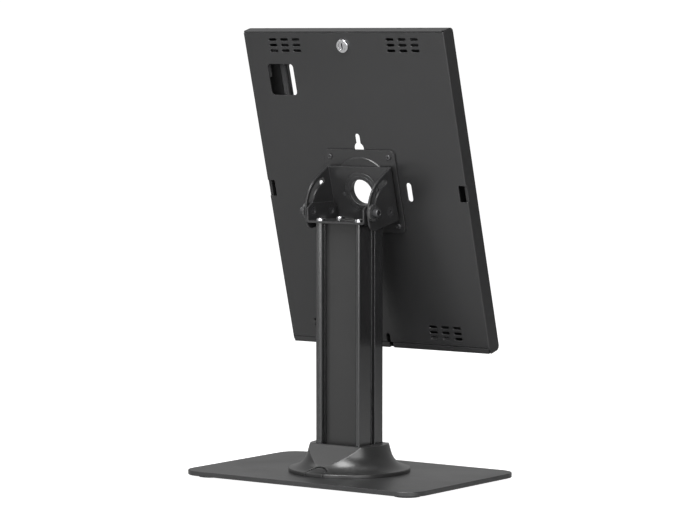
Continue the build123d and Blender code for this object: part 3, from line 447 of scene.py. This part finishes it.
def zinc_plate(name, settings):
    """Bright zinc with its cloudy, slightly crystalline surface."""
    finish, tree, shader, place = new_finish(name, Metallic=1.0)
    grain = use(tree, "Fine Grain", {"Place": place}, {"Grain Size": 0.0003})
    drift, normal = tone_wear_and_edge_highlight(
        tree, shader, place, settings.zinc, patch=0.004, amount=0.25,
        width=0.0002, strength=0.6, rubbed_and_lit=RUBBED_ZINC)
    set_roughness(tree, shader, drift, low=0.26, high=0.44)
    set_relief(tree, shader, grain.outputs["Height"], distance=0.000006, normal=normal)
    return finish


def black_nickel(name, tone):
    """Dark plated steel, bright where the edges are rubbed."""
    finish, tree, shader, place = new_finish(name, Metallic=1.0)
    drift, normal = tone_wear_and_edge_highlight(
        tree, shader, place, tone, patch=0.006, amount=0.2,
        width=0.0002, strength=0.6, rubbed_and_lit=RUBBED_NICKEL)
    set_roughness(tree, shader, drift, low=0.16, high=0.24)
    tree.links.new(normal, shader.inputs["Normal"])
    return finish


def black_oxide(name, tone):
    """Blackened steel with a thin film of oil, brown-grey where it is rubbed."""
    finish, tree, shader, place = new_finish(name, Metallic=0.3, IOR=1.6)
    drift, normal = tone_wear_and_edge_highlight(
        tree, shader, place, tone, patch=0.005, amount=0.25,
        width=0.0003, strength=0.5, rubbed_and_lit=RUBBED_OXIDE)
    set_roughness(tree, shader, drift, low=0.22, high=0.34)
    tree.links.new(normal, shader.inputs["Normal"])
    return finish


def turned_steel(name, centre, axis):
    """Blackened turned steel, with fine rings about its axis."""
    finish, tree, shader, place = new_finish(name, Metallic=0.5, IOR=1.5)
    rings = use(tree, "Turned Rings", {"Place": place},
                {"Centre": centre, "Axis": axis, "Pitch": 0.00025})
    drift, normal = tone_wear_and_edge_highlight(
        tree, shader, place, TURNED_STEEL, patch=0.01, amount=0.2,
        width=0.0003, strength=0.6, rubbed_and_lit=RUBBED_STEEL)
    set_roughness(tree, shader, rings.outputs["Ring"], low=0.18, high=0.30)
    set_relief(tree, shader, rings.outputs["Height"], distance=0.000012, normal=normal)
    return finish


def lock_chrome(name, settings, centre, axis):
    """Chrome over a die cast barrel, with faint turning marks."""
    finish, tree, shader, place = new_finish(name, Metallic=1.0)
    rings = use(tree, "Turned Rings", {"Place": place},
                {"Centre": centre, "Axis": axis, "Pitch": 0.0003})
    drift, normal = tone_wear_and_edge_highlight(
        tree, shader, place, settings.chrome, patch=0.003, amount=0.22,
        width=0.0003, strength=0.5, rubbed_and_lit=RUBBED_CHROME)
    set_roughness(tree, shader, drift, low=0.12, high=0.26)
    set_relief(tree, shader, rings.outputs["Height"], distance=0.000010, normal=normal)
    return finish


def moulded_rubber(name, settings):
    """Matte black rubber with a dry bloom."""
    finish, tree, shader, place = new_finish(name, IOR=1.45)
    grain = use(tree, "Fine Grain", {"Place": place}, {"Grain Size": 0.0005})
    drift = use(tree, "Tone Drift", {"Place": place},
                {"Patch Size": 0.008, "Colour": settings.rubber, "Amount": 0.35})
    tree.links.new(drift.outputs["Colour"], shader.inputs["Base Color"])
    set_roughness(tree, shader, grain.outputs["Speckle"], low=0.62, high=0.85)
    set_relief(tree, shader, grain.outputs["Height"], distance=0.00003)
    return finish


def slip_nylon(name, settings):
    """Off-white nylon with a waxy surface."""
    finish, tree, shader, place = new_finish(name, IOR=1.53)
    grain = use(tree, "Fine Grain", {"Place": place}, {"Grain Size": 0.0008})
    drift = use(tree, "Tone Drift", {"Place": place},
                {"Patch Size": 0.01, "Colour": settings.nylon, "Amount": 0.08})
    tree.links.new(drift.outputs["Colour"], shader.inputs["Base Color"])
    set_roughness(tree, shader, drift.outputs["Drift"], low=0.36, high=0.48)
    set_relief(tree, shader, grain.outputs["Height"], distance=0.00001)
    return finish


def cell_foam(name, settings):
    """Closed cell foam, whose skin shows cut cells, with painted light on the cell rims and painted shade
    in the pits.
    """
    finish, tree, shader, place = new_finish(name, IOR=1.4, Sheen_Weight=0.15, Sheen_Roughness=0.6)
    cells = put(tree, "ShaderNodeTexVoronoi", {"Vector": place}, {"Scale": 1400.0}, feature="F1")
    drift = use(tree, "Tone Drift", {"Place": place},
                {"Patch Size": 0.003, "Colour": settings.foam, "Amount": 0.4})
    # Painted light and shade: the rims between the cells are lighter and the bumped pits darker
    rims = put(tree, "ShaderNodeMapRange", {"Value": cells.outputs["Distance"]},
               {"From Min": 0.15, "From Max": 0.6, "To Min": 0.0, "To Max": 0.5})
    pits_in_painted_shade = blend_colours(tree, rims.outputs["Result"], drift.outputs["Colour"], LIT_FOAM_RIMS)
    tree.links.new(pits_in_painted_shade, shader.inputs["Base Color"])
    set_roughness(tree, shader, cells.outputs["Distance"], low=0.86, high=0.98)
    set_relief(tree, shader, cells.outputs["Distance"], distance=0.00012)
    return finish


def finish_nodes(names, finish):
    """Gives CAD pieces a finish in every one of their material slots."""
    for name in names:
        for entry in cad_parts[name].material_slots:
            entry.material = finish


# Meshes

def mesh_object(name, bm, finish, body):
    """An object from mesh code, smooth but for its sharp edges, that rides on a body."""
    bmesh.ops.recalc_face_normals(bm, faces=bm.faces)
    mesh = bpy.data.meshes.new(name)
    bm.to_mesh(mesh)
    bm.free()
    mesh.shade_smooth()
    mesh.set_sharp_from_angle(angle=SHARP_EDGE)
    mesh.materials.append(finish)
    piece = bpy.data.objects.new(name, mesh)
    bpy.context.scene.collection.objects.link(piece)
    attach(piece, body)
    return piece


def loft(bm, rings):
    """Skins rings of the same number of points, and closes both ends on a middle point."""
    loops = [[bm.verts.new(point) for point in ring] for ring in rings]
    for near, far in zip(loops, loops[1:]):
        for i, vertex in enumerate(near):
            j = (i + 1) % len(near)
            bm.faces.new((vertex, near[j], far[j], far[i]))
    for loop in (loops[0], loops[-1]):
        middle = sum((v.co for v in loop), Vector()) / len(loop)
        tip = bm.verts.new(middle)
        for i, vertex in enumerate(loop):
            bm.faces.new((vertex, loop[(i + 1) % len(loop)], tip))


def hexagon_reach(angle, corner_radius):
    """Distance from the middle of a hexagon to its side at an angle."""
    within = (angle % (pi / 3)) - pi / 6
    return corner_radius * cos(pi / 6) / cos(within)


def add_socket_bolt(bm, settings, centre, outward, head_start, tail):
    """A socket head bolt along X: threaded shank from the tail, knurled head outside."""
    head_steps = settings.knurl_count * 2
    shank_steps = 24
    rings_per_turn = 8
    flank_slope = 1.6
    lead_in = 0.18
    pitch, depth = settings.thread_pitch, settings.thread_depth

    def ring(x, steps, reach):
        angles = (2 * pi * i / steps for i in range(steps))
        return [Vector((outward * x, centre.y + reach(a) * cos(a), centre.z + reach(a) * sin(a)))
                for a in angles]

    def thread(x, grow):
        def reach(angle):
            phase = (x / pitch + angle / (2 * pi)) % 1.0
            cut = depth * min(1.0, flank_slope * abs(2 * phase - 1))
            return settings.thread_radius * grow - cut
        return reach

    run = head_start - tail
    shank = []
    steps = int(run / pitch * rings_per_turn)
    for i in range(steps + 1):
        x = tail + run * i / steps
        grow = min(1.0, 1 - lead_in + lead_in * (x - tail) / pitch)
        shank.append(ring(x, shank_steps, thread(x, grow)))
    loft(bm, shank)

    def knurled(angle):
        wave = 0.5 + 0.5 * cos(settings.knurl_count * angle)
        return settings.head_radius - settings.knurl_depth * (1 - wave)

    foot, knurl_start, knurl_end = 0.3 * MM, 0.8 * MM, 0.6 * MM
    edge, edge_dip = 0.5 * MM, 0.15 * MM
    lip, lip_depth = 0.35 * MM, 0.2 * MM
    floor_share, point_share, point_depth = 0.8, 0.1, 0.4 * MM
    top = head_start + settings.head_height
    plain = settings.head_radius - settings.knurl_depth
    socket = settings.socket_radius
    floor = top - settings.socket_depth
    profile = (
        (head_start, lambda a: plain - foot),
        (head_start + foot, lambda a: plain),
        (head_start + knurl_start, knurled),
        (top - edge - knurl_end, knurled),
        (top - edge, lambda a: plain),
        (top - edge / 2, lambda a: plain - edge_dip),
        (top, lambda a: plain - edge),
        (top, lambda a: socket + lip),
        (top - lip_depth, lambda a: hexagon_reach(a, socket)),
        (floor, lambda a: hexagon_reach(a, socket)),
        (floor, lambda a: socket * floor_share),
        (floor - point_depth, lambda a: socket * point_share),
    )
    loft(bm, [ring(x, head_steps, reach) for x, reach in profile])


def on_grid(*values):
    """Lengths rounded, so that neighbouring cells name their shared corners alike."""
    return tuple(round(value, FOAM_GRID_DIGITS) for value in values)


def foam_solid(bm, cells, low, high, crown):
    """Cells across and up the cover, filled between two depths, with bulging faces.

    A cell is (x0, x1, up0, up1). Neighbouring cells share their corners.
    """
    low_crown = 0.3
    ripple_scale, ripple_share = 90, 0.25
    depths = (low, (low + high) / 2, high)
    placed = {}

    def corner(x, up, deep):
        key = on_grid(x, up, deep)
        if key not in placed:
            placed[key] = bm.verts.new(on_cover(x, up, deep))
        return placed[key]

    # A rim edge belongs to one cell only
    rims = {}
    for x0, x1, up0, up1 in sorted({on_grid(*cell) for cell in cells}):
        loop = ((x0, up0), (x1, up0), (x1, up1), (x0, up1))
        for deep, order in ((low, loop), (high, tuple(reversed(loop)))):
            bm.faces.new([corner(x, up, deep) for x, up in order])
        for a, b in zip(loop, loop[1:] + loop[:1]):
            if (b, a) in rims:
                del rims[(b, a)]
            else:
                rims[(a, b)] = True
    for a, b in rims:
        for near, far in zip(depths, depths[1:]):
            bm.faces.new((corner(*a, near), corner(*b, near), corner(*b, far), corner(*a, far)))
    rim_points = {point for pair in rims for point in pair}
    low_face, high_face = on_grid(low, high)
    for (x, up, deep), vertex in placed.items():
        on_rim = (x, up) in rim_points
        if deep == high_face and on_rim:
            vertex.co -= INTO_THE_COVER * crown
        if deep == low_face and on_rim:
            vertex.co += INTO_THE_COVER * crown * low_crown
        if deep == high_face:
            ripple = noise.noise(vertex.co * ripple_scale) * crown * ripple_share
            vertex.co -= INTO_THE_COVER * abs(ripple)


def strip_cells(x_mid, up_mid, width, height, along):
    """Cells of a straight strip, two across and many along."""
    cell = 6 * MM
    cells = []
    if along == "x":
        steps = max(2, int(width / cell))
        for i in range(steps):
            for j in range(2):
                cells.append((x_mid - width / 2 + width * i / steps,
                              x_mid - width / 2 + width * (i + 1) / steps,
                              up_mid - height / 2 + height * j / 2,
                              up_mid - height / 2 + height * (j + 1) / 2))
    else:
        for up0, up1, x0, x1 in strip_cells(up_mid, x_mid, height, width, "x"):
            cells.append((x0, x1, up0, up1))
    return cells


def corner_cells(x_side, up_side, outer, legs, wall):
    """Cells of an L-shaped corner block."""
    cell = 2 * MM
    cells = []
    for i in range(round(legs[0] / cell)):
        for j in range(round(legs[1] / cell)):
            if (i + 0.5) * cell < wall or (j + 0.5) * cell < wall:
                xs = sorted((x_side * (outer[0] - i * cell), x_side * (outer[0] - (i + 1) * cell)))
                ups = sorted((up_side * (outer[1] - j * cell), up_side * (outer[1] - (j + 1) * cell)))
                cells.append((*xs, *ups))
    return cells


def soften(piece, width):
    """Rounds the outer edges of a piece and keeps the result in its mesh."""
    cut_edge, kept_edge = radians(50), radians(60)
    bevel = piece.modifiers.new("Soft Edge", "BEVEL")
    bevel.width = width
    bevel.segments = 3
    bevel.limit_method = "ANGLE"
    bevel.angle_limit = cut_edge
    depsgraph = bpy.context.evaluated_depsgraph_get()
    rounded = bpy.data.meshes.new_from_object(piece.evaluated_get(depsgraph))
    piece.modifiers.clear()
    piece.data = rounded
    rounded.shade_smooth()
    rounded.set_sharp_from_angle(angle=kept_edge)


# Operators

class STAND_OT_stage(bpy.types.Operator):
    """Lay the floor, hang the lights and place the camera"""
    bl_idname = "stand.stage"
    bl_label = "Studio"

    def execute(self, context):
        settings = context.scene.stand_stage
        scene = context.scene
        scene.view_settings.view_transform = "Standard"
        scene.view_settings.look = "None"
        self.place_camera(scene)
        self.lay_floor(scene, settings)
        self.light_world(scene, settings)
        self.hang_light(scene, "Camera Softbox", settings.camera_light,
                        turn=-52, rise=10, distance=2.4, width=1.6, height=1.2)
        self.hang_light(scene, "Behind Softbox", settings.behind_light,
                        turn=-5, rise=10, distance=2.4, width=1.2, height=1.2)
        self.hang_light(scene, "High Softbox", settings.high_light,
                        turn=-10, rise=42, distance=2.0, width=1.0, height=0.7)
        self.hang_light(scene, "Crown Softbox", settings.crown_light,
                        turn=-10, rise=62, distance=1.8, width=0.9, height=0.9)
        self.hang_light(scene, "Left Softbox", settings.left_light,
                        turn=78, rise=45, distance=1.8, width=0.7, height=0.7)
        self.hang_light(scene, "Panel Softbox", settings.panel_light,
                        turn=42, rise=8, distance=2.4, width=0.5, height=1.2)
        return {"FINISHED"}

    def place_camera(self, scene):
        data = bpy.data.cameras.new("Camera")
        data.sensor_width = SENSOR_WIDTH
        data.lens = LENS
        camera = bpy.data.objects.new("Camera", data)
        scene.collection.objects.link(camera)
        back = Vector((sin(CAMERA_TURN) * cos(CAMERA_RISE), -cos(CAMERA_TURN) * cos(CAMERA_RISE),
                       sin(CAMERA_RISE)))
        camera.location = CAMERA_PLACE
        camera.rotation_mode = "QUATERNION"
        camera.rotation_quaternion = (-back).to_track_quat("-Z", "Y")
        data.clip_start, data.clip_end = 0.1, 200
        scene.camera = camera

    def lay_floor(self, scene, settings):
        bm = bmesh.new()
        bmesh.ops.create_circle(bm, cap_ends=True, segments=FLOOR_SEGMENTS, radius=settings.floor_radius)
        mesh = bpy.data.meshes.new("floor")
        bm.to_mesh(mesh)
        bm.free()
        floor = bpy.data.objects.new("floor", mesh)
        scene.collection.objects.link(floor)
        finish, tree, shader, place = new_finish("Pale Floor", Roughness=0.9, Specular_IOR_Level=0.1)
        drift = use(tree, "Tone Drift", {"Place": place},
                    {"Patch Size": 0.6, "Colour": settings.floor_colour, "Amount": 0.01})
        tree.links.new(drift.outputs["Colour"], shader.inputs["Base Color"])
        shader.inputs["Emission Color"].default_value = WHITE
        path = tree.nodes.new("ShaderNodeLightPath")
        tree.links.new(path.outputs["Is Camera Ray"], shader.inputs["Emission Strength"])
        mesh.materials.append(finish)

    def light_world(self, scene, settings):
        world = bpy.data.worlds.new("Soft Studio")
        world.use_nodes = True
        tree = world.node_tree
        tree.nodes.clear()
        towards = tree.nodes.new("ShaderNodeTexCoord").outputs["Generated"]
        parts = put(tree, "ShaderNodeSeparateXYZ", {"Vector": towards})
        rear_half = compute(tree, "MAXIMUM", parts.outputs["Y"], 0.0)
        left_half = compute(tree, "MAXIMUM", parts.outputs["X"], 0.0)
        front_half = compute(tree, "MINIMUM", parts.outputs["Y"], 0.0)
        behind = compute(tree, "MULTIPLY", rear_half, settings.behind_fill)
        left = compute(tree, "MULTIPLY", left_half, settings.left_fill)
        before = compute(tree, "MULTIPLY", front_half, -settings.screen_fill)
        room_light = compute(tree, "ADD", compute(tree, "ADD", behind, left), before)
        seen = put(tree, "ShaderNodeBackground", None, {"Color": WHITE, "Strength": WHITE_STRENGTH})
        room = put(tree, "ShaderNodeBackground", {"Strength": room_light}, {"Color": WHITE})
        path = tree.nodes.new("ShaderNodeLightPath")
        mix = put(tree, "ShaderNodeMixShader",
                  {"Fac": path.outputs["Is Camera Ray"], 1: room.outputs[0], 2: seen.outputs[0]})
        put(tree, "ShaderNodeOutputWorld", {"Surface": mix.outputs[0]})
        scene.world = world

    def hang_light(self, scene, name, power, turn, rise, distance, width, height):
        """Hangs a softbox that faces the middle of the stand.

        The turn, from +Y towards +X, and the rise are in degrees.
        """
        turn, rise = radians(turn), radians(rise)
        away = Vector((sin(turn) * cos(rise), cos(turn) * cos(rise), sin(rise)))
        data = bpy.data.lights.new(name, "AREA")
        data.shape = "RECTANGLE"
        data.size, data.size_y = width, height
        data.energy = power
        lamp = bpy.data.objects.new(name, data)
        scene.collection.objects.link(lamp)
        lamp.location = Vector((0, 0, AIM_HEIGHT)) + away * distance
        lamp.rotation_mode = "QUATERNION"
        lamp.rotation_quaternion = (-away).to_track_quat("-Z", "Y")


class STAND_OT_groups(bpy.types.Operator):
    """Build the shader groups that the finishes share"""
    bl_idname = "stand.groups"
    bl_label = "Shared Effects"

    def execute(self, context):
        for build in (build_grain, build_wear, build_drift, build_lines, build_rings):
            build()
        return {"FINISHED"}


class STAND_OT_coated_steel(bpy.types.Operator):
    """Powder coat the base plate, the brackets and the enclosure"""
    bl_idname = "stand.coated_steel"
    bl_label = "Coated Steel"

    def execute(self, context):
        settings = context.scene.stand_finish
        finish_nodes(COATED_BASE, coated_steel("Coated Base", settings.base_coat, settings, 0.32, 0.42))
        finish_nodes(COATED_SHEET, coated_steel("Coated Sheet", settings.sheet_coat, settings, 0.28, 0.36))
        finish_nodes(COATED_BRACKET,
                     coated_steel("Coated Bracket", settings.bracket_coat, settings, 0.28, 0.36))
        return {"FINISHED"}


class STAND_OT_post(bpy.types.Operator):
    """Anodise the post"""
    bl_idname = "stand.post"
    bl_label = "Anodised Post"

    def execute(self, context):
        finish_nodes(("post",), anodised_aluminium("Black Anodising", context.scene.stand_finish))
        return {"FINISHED"}


class STAND_OT_plastic(bpy.types.Operator):
    """Mould the collar, its cable door and the post cover"""
    bl_idname = "stand.plastic"
    bl_label = "Moulded Plastic"

    def execute(self, context):
        finish_nodes(MOULDED, moulded_plastic("Grained Plastic", context.scene.stand_finish))
        return {"FINISHED"}


class STAND_OT_rubber(bpy.types.Operator):
    """Finish the feet and the grommet in rubber, and the slip washer in nylon"""
    bl_idname = "stand.rubber"
    bl_label = "Rubber and Nylon"

    def execute(self, context):
        settings = context.scene.stand_finish
        finish_nodes(("base_feet", "cable_grommet"), moulded_rubber("Matte Rubber", settings))
        finish_nodes(("swivel_slip_washer",), slip_nylon("Slip Nylon", settings))
        return {"FINISHED"}


class STAND_OT_fasteners(bpy.types.Operator):
    """Plate the screws, nuts, washers and the swivel bushing"""
    bl_idname = "stand.fasteners"
    bl_label = "Fasteners"

    def execute(self, context):
        settings = context.scene.stand_finish
        finish_nodes(ZINC_PLATED, zinc_plate("Bright Zinc", settings))
        finish_nodes(BRIGHT_BLACK, black_nickel("Black Nickel", settings.blackened))
        finish_nodes(DULL_BLACK, black_oxide("Black Oxide", settings.oxide))
        finish_nodes(("tilt_lock_washers",), black_oxide("Grey Phosphate", settings.phosphate))
        finish_nodes(("swivel_bushing",), turned_steel("Turned Bushing", COVER_CENTRE, INTO_THE_COVER))
        return {"FINISHED"}


class STAND_OT_lock(bpy.types.Operator):
    """Chrome the barrel and the plug of the lock"""
    bl_idname = "stand.lock"
    bl_label = "Lock"

    def execute(self, context):
        low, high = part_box("lock_barrel")
        settings = context.scene.stand_finish
        finish = lock_chrome("Lock Chrome", settings, (low + high) / 2, INTO_THE_COVER)
        finish_nodes(CHROMED, finish)
        return {"FINISHED"}


class STAND_OT_lock_bolts(bpy.types.Operator):
    """Make the two socket head bolts that clamp the tilt"""
    bl_idname = "stand.lock_bolts"
    bl_label = "Tilt Lock Bolts"

    def execute(self, context):
        settings = context.scene.stand_bolts
        low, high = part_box("tilt_lock_bolts")
        centre = (low + high) / 2
        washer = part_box("tilt_lock_washers")[1].x
        tail = min(abs(v.co.x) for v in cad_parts["tilt_lock_bolts"].data.vertices)
        bm = bmesh.new()
        for outward in (-1, 1):
            add_socket_bolt(bm, settings, centre, outward, washer, tail)
        finish = bpy.data.materials["Black Oxide"]
        bolts = mesh_object("tilt_lock_bolts_detailed", bm, finish, "stand")
        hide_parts("tilt_lock_bolts")
        return {"FINISHED"}


class STAND_OT_foam(bpy.types.Operator):
    """Cut the foam strips and the corner blocks"""
    bl_idname = "stand.foam"
    bl_label = "Foam"

    def execute(self, context):
        settings = context.scene.stand_foam
        finish = cell_foam("Closed Cell Foam", context.scene.stand_finish)
        self.lay_strips(settings, finish)
        self.set_blocks(settings, finish)
        return {"FINISHED"}

    def lay_strips(self, settings, finish):
        thin_edge_share = 0.6
        wide = settings.strip_width
        back, front = STRIP_DEEP, STRIP_DEEP + settings.strip_thickness
        bm = bmesh.new()
        for side in (-1, 1):
            upright = strip_cells(side * STRIP_ACROSS, 0, wide, STRIP_TALL, "up")
            level = strip_cells(0, side * STRIP_UP, 2 * STRIP_ACROSS + wide, wide, "x")
            foam_solid(bm, upright, front, back, settings.crown)
            foam_solid(bm, level, front, back, settings.crown)
        strips = mesh_object("foam_strips_soft", bm, finish, "frame")
        soften(strips, settings.soft_edge * thin_edge_share)
        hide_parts("foam_strips")

    def set_blocks(self, settings, finish):
        floor, top = BLOCK_DEEP, BLOCK_DEEP + settings.block_height
        bm = bmesh.new()
        for x_side in (-1, 1):
            for up_side in (-1, 1):
                cells = corner_cells(x_side, up_side, BLOCK_CORNER, BLOCK_LEGS, settings.block_wall)
                foam_solid(bm, cells, floor, top, settings.crown)
        blocks = mesh_object("corner_blocks_soft", bm, finish, "enclosure")
        soften(blocks, settings.soft_edge)
        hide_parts("corner_blocks")


class STAND_PT_panel(bpy.types.Panel):
    """The steps that finish the stand, in their order"""
    bl_idname = "STAND_PT_panel"
    bl_label = "Tablet Stand"
    bl_space_type = "VIEW_3D"
    bl_region_type = "UI"
    bl_category = "Tablet Stand"

    def draw(self, context):
        column = self.layout.column()
        for step in STEPS:
            column.operator(step.bl_idname)
        for group in SETTINGS:
            box = column.box()
            box.label(text=group.bl_rna.name)
            for key in group.__annotations__:
                box.prop(getattr(context.scene, SETTINGS[group]), key)


SETTINGS = {FinishSettings: "stand_finish", BoltSettings: "stand_bolts",
            FoamSettings: "stand_foam", StageSettings: "stand_stage"}
STEPS = (STAND_OT_groups, STAND_OT_stage, STAND_OT_coated_steel, STAND_OT_post, STAND_OT_plastic,
         STAND_OT_rubber, STAND_OT_fasteners, STAND_OT_lock, STAND_OT_lock_bolts, STAND_OT_foam)


def register():
    for group, name in SETTINGS.items():
        bpy.utils.register_class(group)
        setattr(bpy.types.Scene, name, bpy.props.PointerProperty(type=group))
    for step in STEPS:
        bpy.utils.register_class(step)
    bpy.utils.register_class(STAND_PT_panel)


def unregister():
    bpy.utils.unregister_class(STAND_PT_panel)
    for step in reversed(STEPS):
        bpy.utils.unregister_class(step)
    for group, name in SETTINGS.items():
        delattr(bpy.types.Scene, name)
        bpy.utils.unregister_class(group)


def main():
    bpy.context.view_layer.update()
    register()
    for step in STEPS:
        family, action = step.bl_idname.split(".")
        getattr(getattr(bpy.ops, family), action)()


if __name__ == "__main__":
    main()
